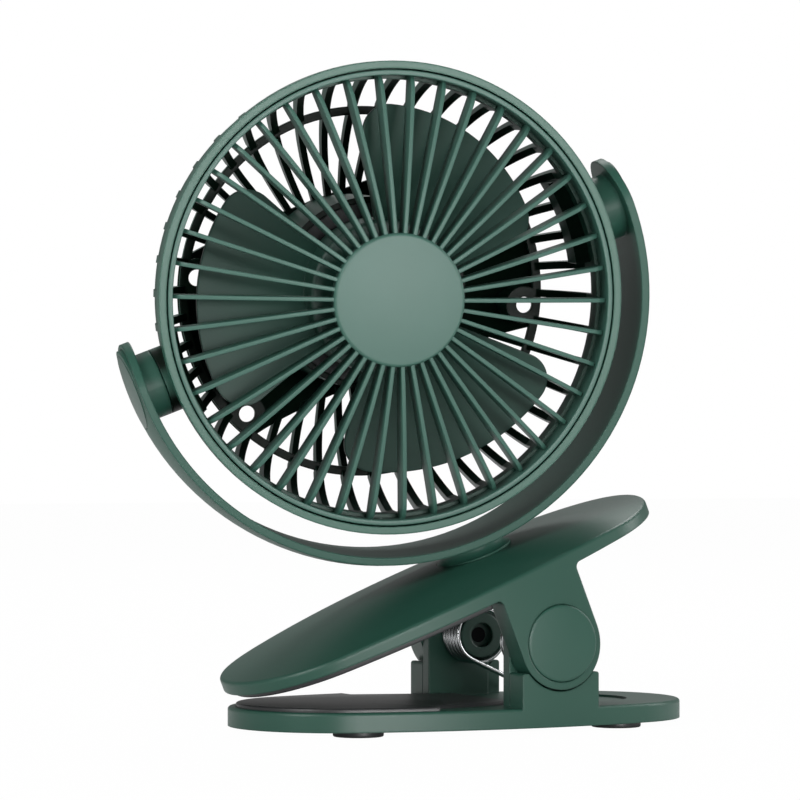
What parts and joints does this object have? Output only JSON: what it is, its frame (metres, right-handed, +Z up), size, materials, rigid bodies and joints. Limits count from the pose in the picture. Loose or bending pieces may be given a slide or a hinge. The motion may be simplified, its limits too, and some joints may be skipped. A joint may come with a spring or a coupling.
{
  "type": "clip fan",
  "caption": "Small desk fan with a round slotted grille in a half-round yoke that swivels on a sprung clip with padded jaws.",
  "frame": {"origin": "centre of the base at the plane that the feet stand on", "axes": "+X towards the lever's free tail, -Y towards the viewer of the picture, +Z up"},
  "size_m": [0.1882, 0.1005, 0.2124],
  "materials": {
    "moulded_green": "fine moulded texture",
    "cap_green": "fine moulded texture",
    "pad_rubber": "matt",
    "spring_steel": "bright drawn wire",
    "screw_steel": "satin",
    "blade_plastic": "satin",
    "inner_plastic": "matt",
    "core_steel": "laminated",
    "magnet": "matt",
    "copper": "enamelled copper wire",
    "bronze": "sintered",
    "board": "solder mask",
    "cell_wrap": "shrink wrap",
    "lens": "milky"
  },
  "bodies": {
    "base": {"base_shell": "moulded_green", "base_cover": "moulded_green", "base_screws": "screw_steel", "base_feet": "pad_rubber", "lower_jaw_pad": "pad_rubber", "hinge_pins": "screw_steel", "torsion_spring": "spring_steel"},
    "upper_jaw": {"lever_shell": "moulded_green", "lever_floor": "moulded_green", "lever_screws": "screw_steel", "upper_jaw_pad": "pad_rubber", "hinge_caps": "cap_green"},
    "yoke": {"yoke_arm": "moulded_green", "yoke_cover": "moulded_green", "yoke_end_caps": "cap_green", "swivel_washer": "screw_steel", "swivel_screw": "screw_steel"},
    "head": {"front_grille": "moulded_green", "rear_shell": "moulded_green", "pivot_screws": "screw_steel", "motor_plate": "inner_plastic", "shaft_bushes": "bronze", "stator_core": "core_steel", "stator_windings": "copper", "battery": "cell_wrap", "circuit_board": "board", "board_screws": "screw_steel", "tact_switch": "inner_plastic", "usb_socket": "screw_steel", "indicator_lens": "lens", "rear_cap": "moulded_green", "rear_cap_screws": "screw_steel"},
    "rotor": {"fan_rotor": "blade_plastic", "rotor_shaft": "screw_steel", "rotor_cup": "core_steel", "rotor_magnet": "magnet"},
    "power_button": {"power_button": "cap_green"}
  },
  "joints": [
    {"name": "clip_hinge", "type": "hinge", "parent": "base", "child": "upper_jaw", "pos_m": [0.0172, 0, 0.0284], "axis": [0, 1, 0], "range_deg": [0, 35], "stiffness_Nm_per_rad": 0.4, "springref_deg": -51.57, "deforming": ["torsion_spring"]},
    {"name": "yoke_swivel", "type": "hinge", "parent": "upper_jaw", "child": "yoke", "pos_m": [0.0172, 0, 0.0284], "axis": [-0.3746, 0, 0.9272], "range_deg": [-180, 180]},
    {"name": "head_tilt", "type": "hinge", "parent": "yoke", "child": "head", "pos_m": [-0.02749, 0, 0.13901], "axis": [0.9012, -0.2351, 0.3641], "range_deg": [-180, 180]},
    {"name": "rotor_spin", "type": "hinge", "parent": "head", "child": "rotor", "pos_m": [-0.02749, 0, 0.13901], "axis": [-0.218, -0.972, -0.0881], "continuous": true},
    {"name": "button_press", "type": "slide", "parent": "head", "child": "power_button", "axis": [-0.218, -0.972, -0.0881], "range_m": [0, 0.0005], "stiffness_N_per_m": 2000, "springref_m": -0.0005}
  ]
}
